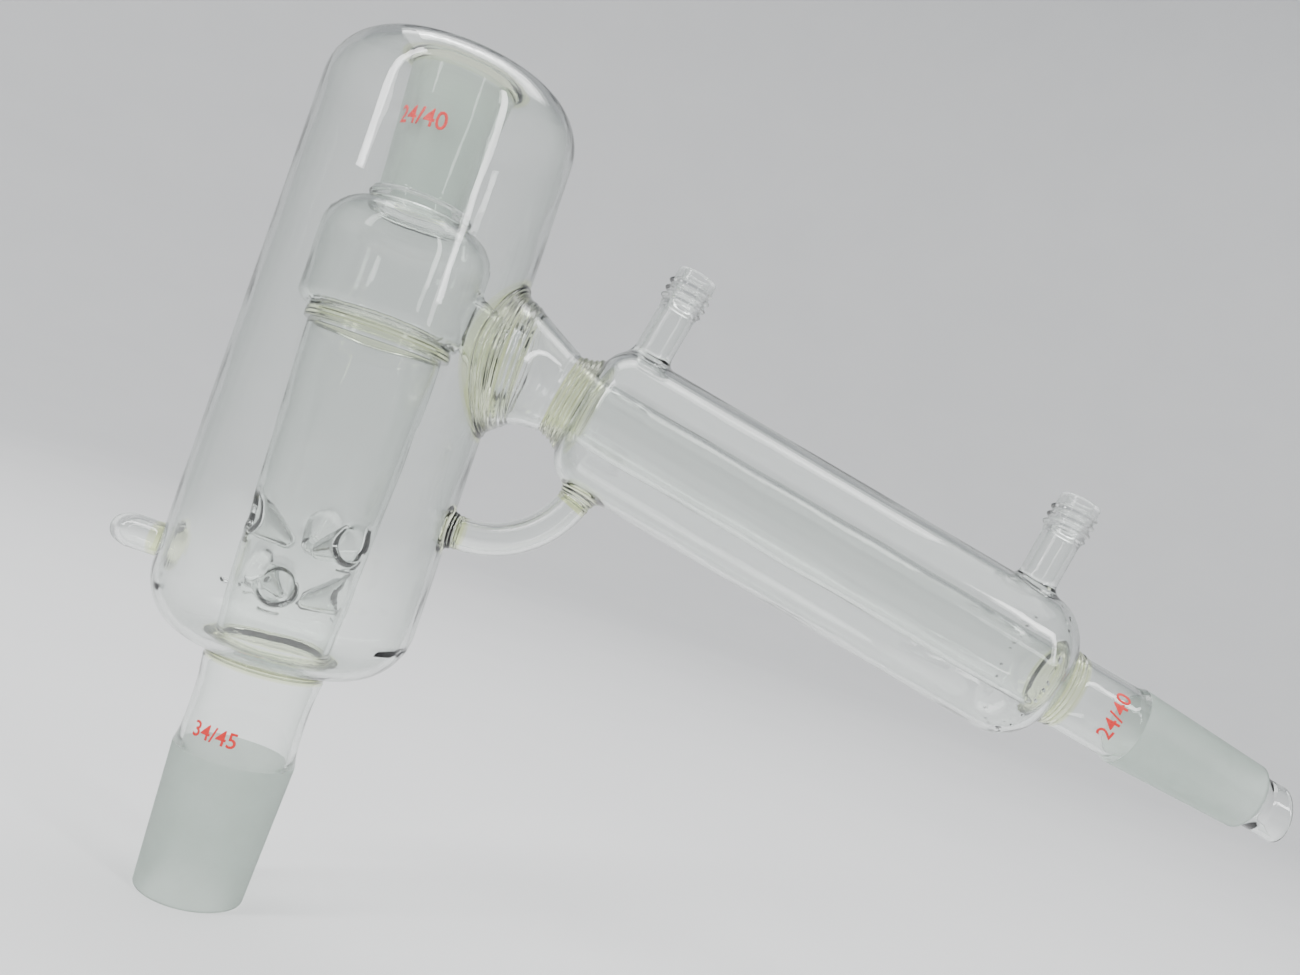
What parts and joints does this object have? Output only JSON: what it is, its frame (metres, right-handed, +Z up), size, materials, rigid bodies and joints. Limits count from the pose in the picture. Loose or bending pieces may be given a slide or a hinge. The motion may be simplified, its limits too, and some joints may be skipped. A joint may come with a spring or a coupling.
{
  "type": "jacketed distillation head with condenser",
  "caption": "Clear glass short-path distillation head with a vacuum-jacketed column, a sloping Liebig condenser, ground joints, screw-thread hose connectors and a glass brace.",
  "frame": {"origin": "centre of the small end of the bottom ground cone", "axes": "+Z up the column axis towards the top socket; +X towards the condenser, which slopes 12.2 degrees down; y = 0 is the plane through every branch"},
  "size_m": [0.3453, 0.075, 0.2495],
  "materials": {
    "clear_glass": "clear fire-polished borosilicate glass",
    "ground_glass": "fine-ground frosted joint surface",
    "seal_glass": "thick flame-worked seal, faint yellow-green"
  },
  "bodies": {
    "root": {"vacuum_jacket": "clear_glass", "socket_bead": "clear_glass", "vapour_chamber": "clear_glass", "column_tube": "clear_glass", "vigreux_section": "clear_glass", "lower_neck": "clear_glass", "vapour_side_arm": "clear_glass", "side_arm_sleeve": "clear_glass", "condenser_jacket": "clear_glass", "condenser_inner_tube": "clear_glass", "receiver_neck": "clear_glass", "drip_tip": "clear_glass", "outlet_collar": "clear_glass", "outlet_neck": "clear_glass", "outlet_thread": "clear_glass", "inlet_collar": "clear_glass", "inlet_neck": "clear_glass", "inlet_thread": "clear_glass", "brace_tube": "clear_glass", "vacuum_tip": "clear_glass", "top_socket": "ground_glass", "lower_cone": "ground_glass", "receiver_cone": "ground_glass", "socket_rim_seal": "seal_glass", "chamber_seam_ring": "seal_glass", "base_ring_seal": "seal_glass", "side_arm_collar": "seal_glass", "condenser_top_seal": "seal_glass", "condenser_bottom_seal": "seal_glass", "brace_head_seal": "seal_glass", "brace_condenser_seal": "seal_glass", "vacuum_tip_seal": "seal_glass"}
  },
  "joints": []
}
